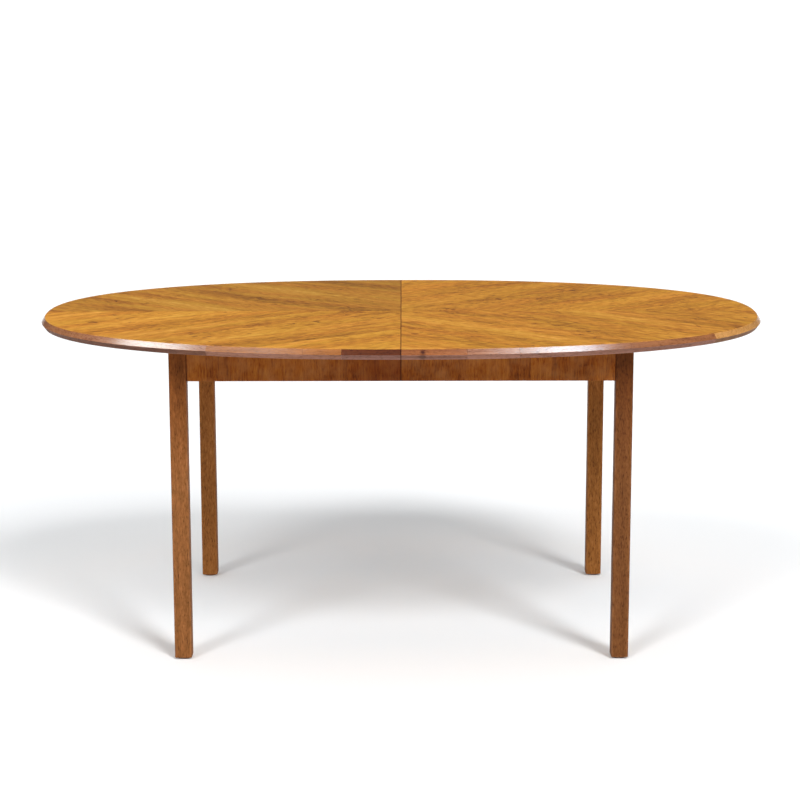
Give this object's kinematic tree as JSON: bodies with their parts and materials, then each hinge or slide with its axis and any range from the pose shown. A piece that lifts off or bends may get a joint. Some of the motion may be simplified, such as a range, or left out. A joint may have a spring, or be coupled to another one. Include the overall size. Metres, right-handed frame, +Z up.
{
  "type": "oval extending dining table",
  "caption": "Oval wooden dining table on square legs that parts at a seam across its middle and slides open on telescoping runners to take leaves.",
  "frame": {"origin": "on the floor, under the middle of the closed table", "axes": "+Z up, +X along the table towards the half that slides out, -Y towards the front"},
  "size_m": [1.66, 1.05, 0.73],
  "materials": {
    "top_veneer": "satin lacquered face veneer",
    "edge_lipping": "satin lacquered solid wood",
    "apron_veneer": "satin stained veneer",
    "leg_wood": "satin stained solid wood",
    "core_board": "plain backing veneer on board",
    "runner_beech": "planed bare beech",
    "zinc_steel": "zinc plated steel",
    "catch_brass": "pressed brass",
    "glide_plastic": "moulded plastic"
  },
  "bodies": {
    "left_half": {"top_panel_left": "core_board", "face_veneer_left_front": "top_veneer", "face_veneer_left_back": "top_veneer", "lipping_end_left": "edge_lipping", "lipping_left_front": "edge_lipping", "lipping_left_back": "edge_lipping", "apron_left_front": "apron_veneer", "apron_left_back": "apron_veneer", "apron_end_left": "apron_veneer", "leg_left_front": "leg_wood", "leg_left_back": "leg_wood", "foot_glide_left_front": "glide_plastic", "foot_glide_left_back": "glide_plastic", "corner_block_left_front": "runner_beech", "corner_block_left_back": "runner_beech", "leg_bolt_left_front": "zinc_steel", "leg_bolt_left_back": "zinc_steel", "leg_nut_left_front": "zinc_steel", "leg_nut_left_back": "zinc_steel", "runner_outer_front": "runner_beech", "runner_outer_back": "runner_beech", "runner_screw_left_front_1": "zinc_steel", "runner_screw_left_front_2": "zinc_steel", "runner_screw_left_back_1": "zinc_steel", "runner_screw_left_back_2": "zinc_steel", "seam_dowel_front": "runner_beech", "seam_dowel_back": "runner_beech", "catch_screw_left": "catch_brass"},
    "right_half": {"top_panel_right": "core_board", "face_veneer_right_front": "top_veneer", "face_veneer_right_back": "top_veneer", "lipping_end_right": "edge_lipping", "lipping_right_front": "edge_lipping", "lipping_right_back": "edge_lipping", "apron_right_front": "apron_veneer", "apron_right_back": "apron_veneer", "apron_end_right": "apron_veneer", "leg_right_front": "leg_wood", "leg_right_back": "leg_wood", "foot_glide_right_front": "glide_plastic", "foot_glide_right_back": "glide_plastic", "corner_block_right_front": "runner_beech", "corner_block_right_back": "runner_beech", "leg_bolt_right_front": "zinc_steel", "leg_bolt_right_back": "zinc_steel", "leg_nut_right_front": "zinc_steel", "leg_nut_right_back": "zinc_steel", "runner_inner_front": "runner_beech", "runner_inner_back": "runner_beech", "runner_screw_right_front_1": "zinc_steel", "runner_screw_right_front_2": "zinc_steel", "runner_screw_right_back_1": "zinc_steel", "runner_screw_right_back_2": "zinc_steel", "catch_screw_right": "catch_brass"},
    "middle_runners": {"runner_middle_front": "runner_beech", "runner_middle_back": "runner_beech", "runner_tie_left": "runner_beech", "runner_tie_right": "runner_beech"},
    "catch": {"catch_arm": "catch_brass"}
  },
  "joints": [
    {"name": "extension", "type": "slide", "parent": "left_half", "child": "right_half", "axis": [1, 0, 0], "range_m": [0, 0.9]},
    {"name": "middle_runner_slide", "type": "slide", "parent": "left_half", "child": "middle_runners", "axis": [1, 0, 0], "range_m": [0, 0.45]},
    {"name": "catch_pivot", "type": "hinge", "parent": "left_half", "child": "catch", "pos_m": [-0.035, 0, 0.70545], "axis": [0, 0, 1], "range_deg": [-90, 0]}
  ],
  "couplings": [
    {"joint": "middle_runner_slide", "follows": "extension", "ratio": 0.5}
  ]
}
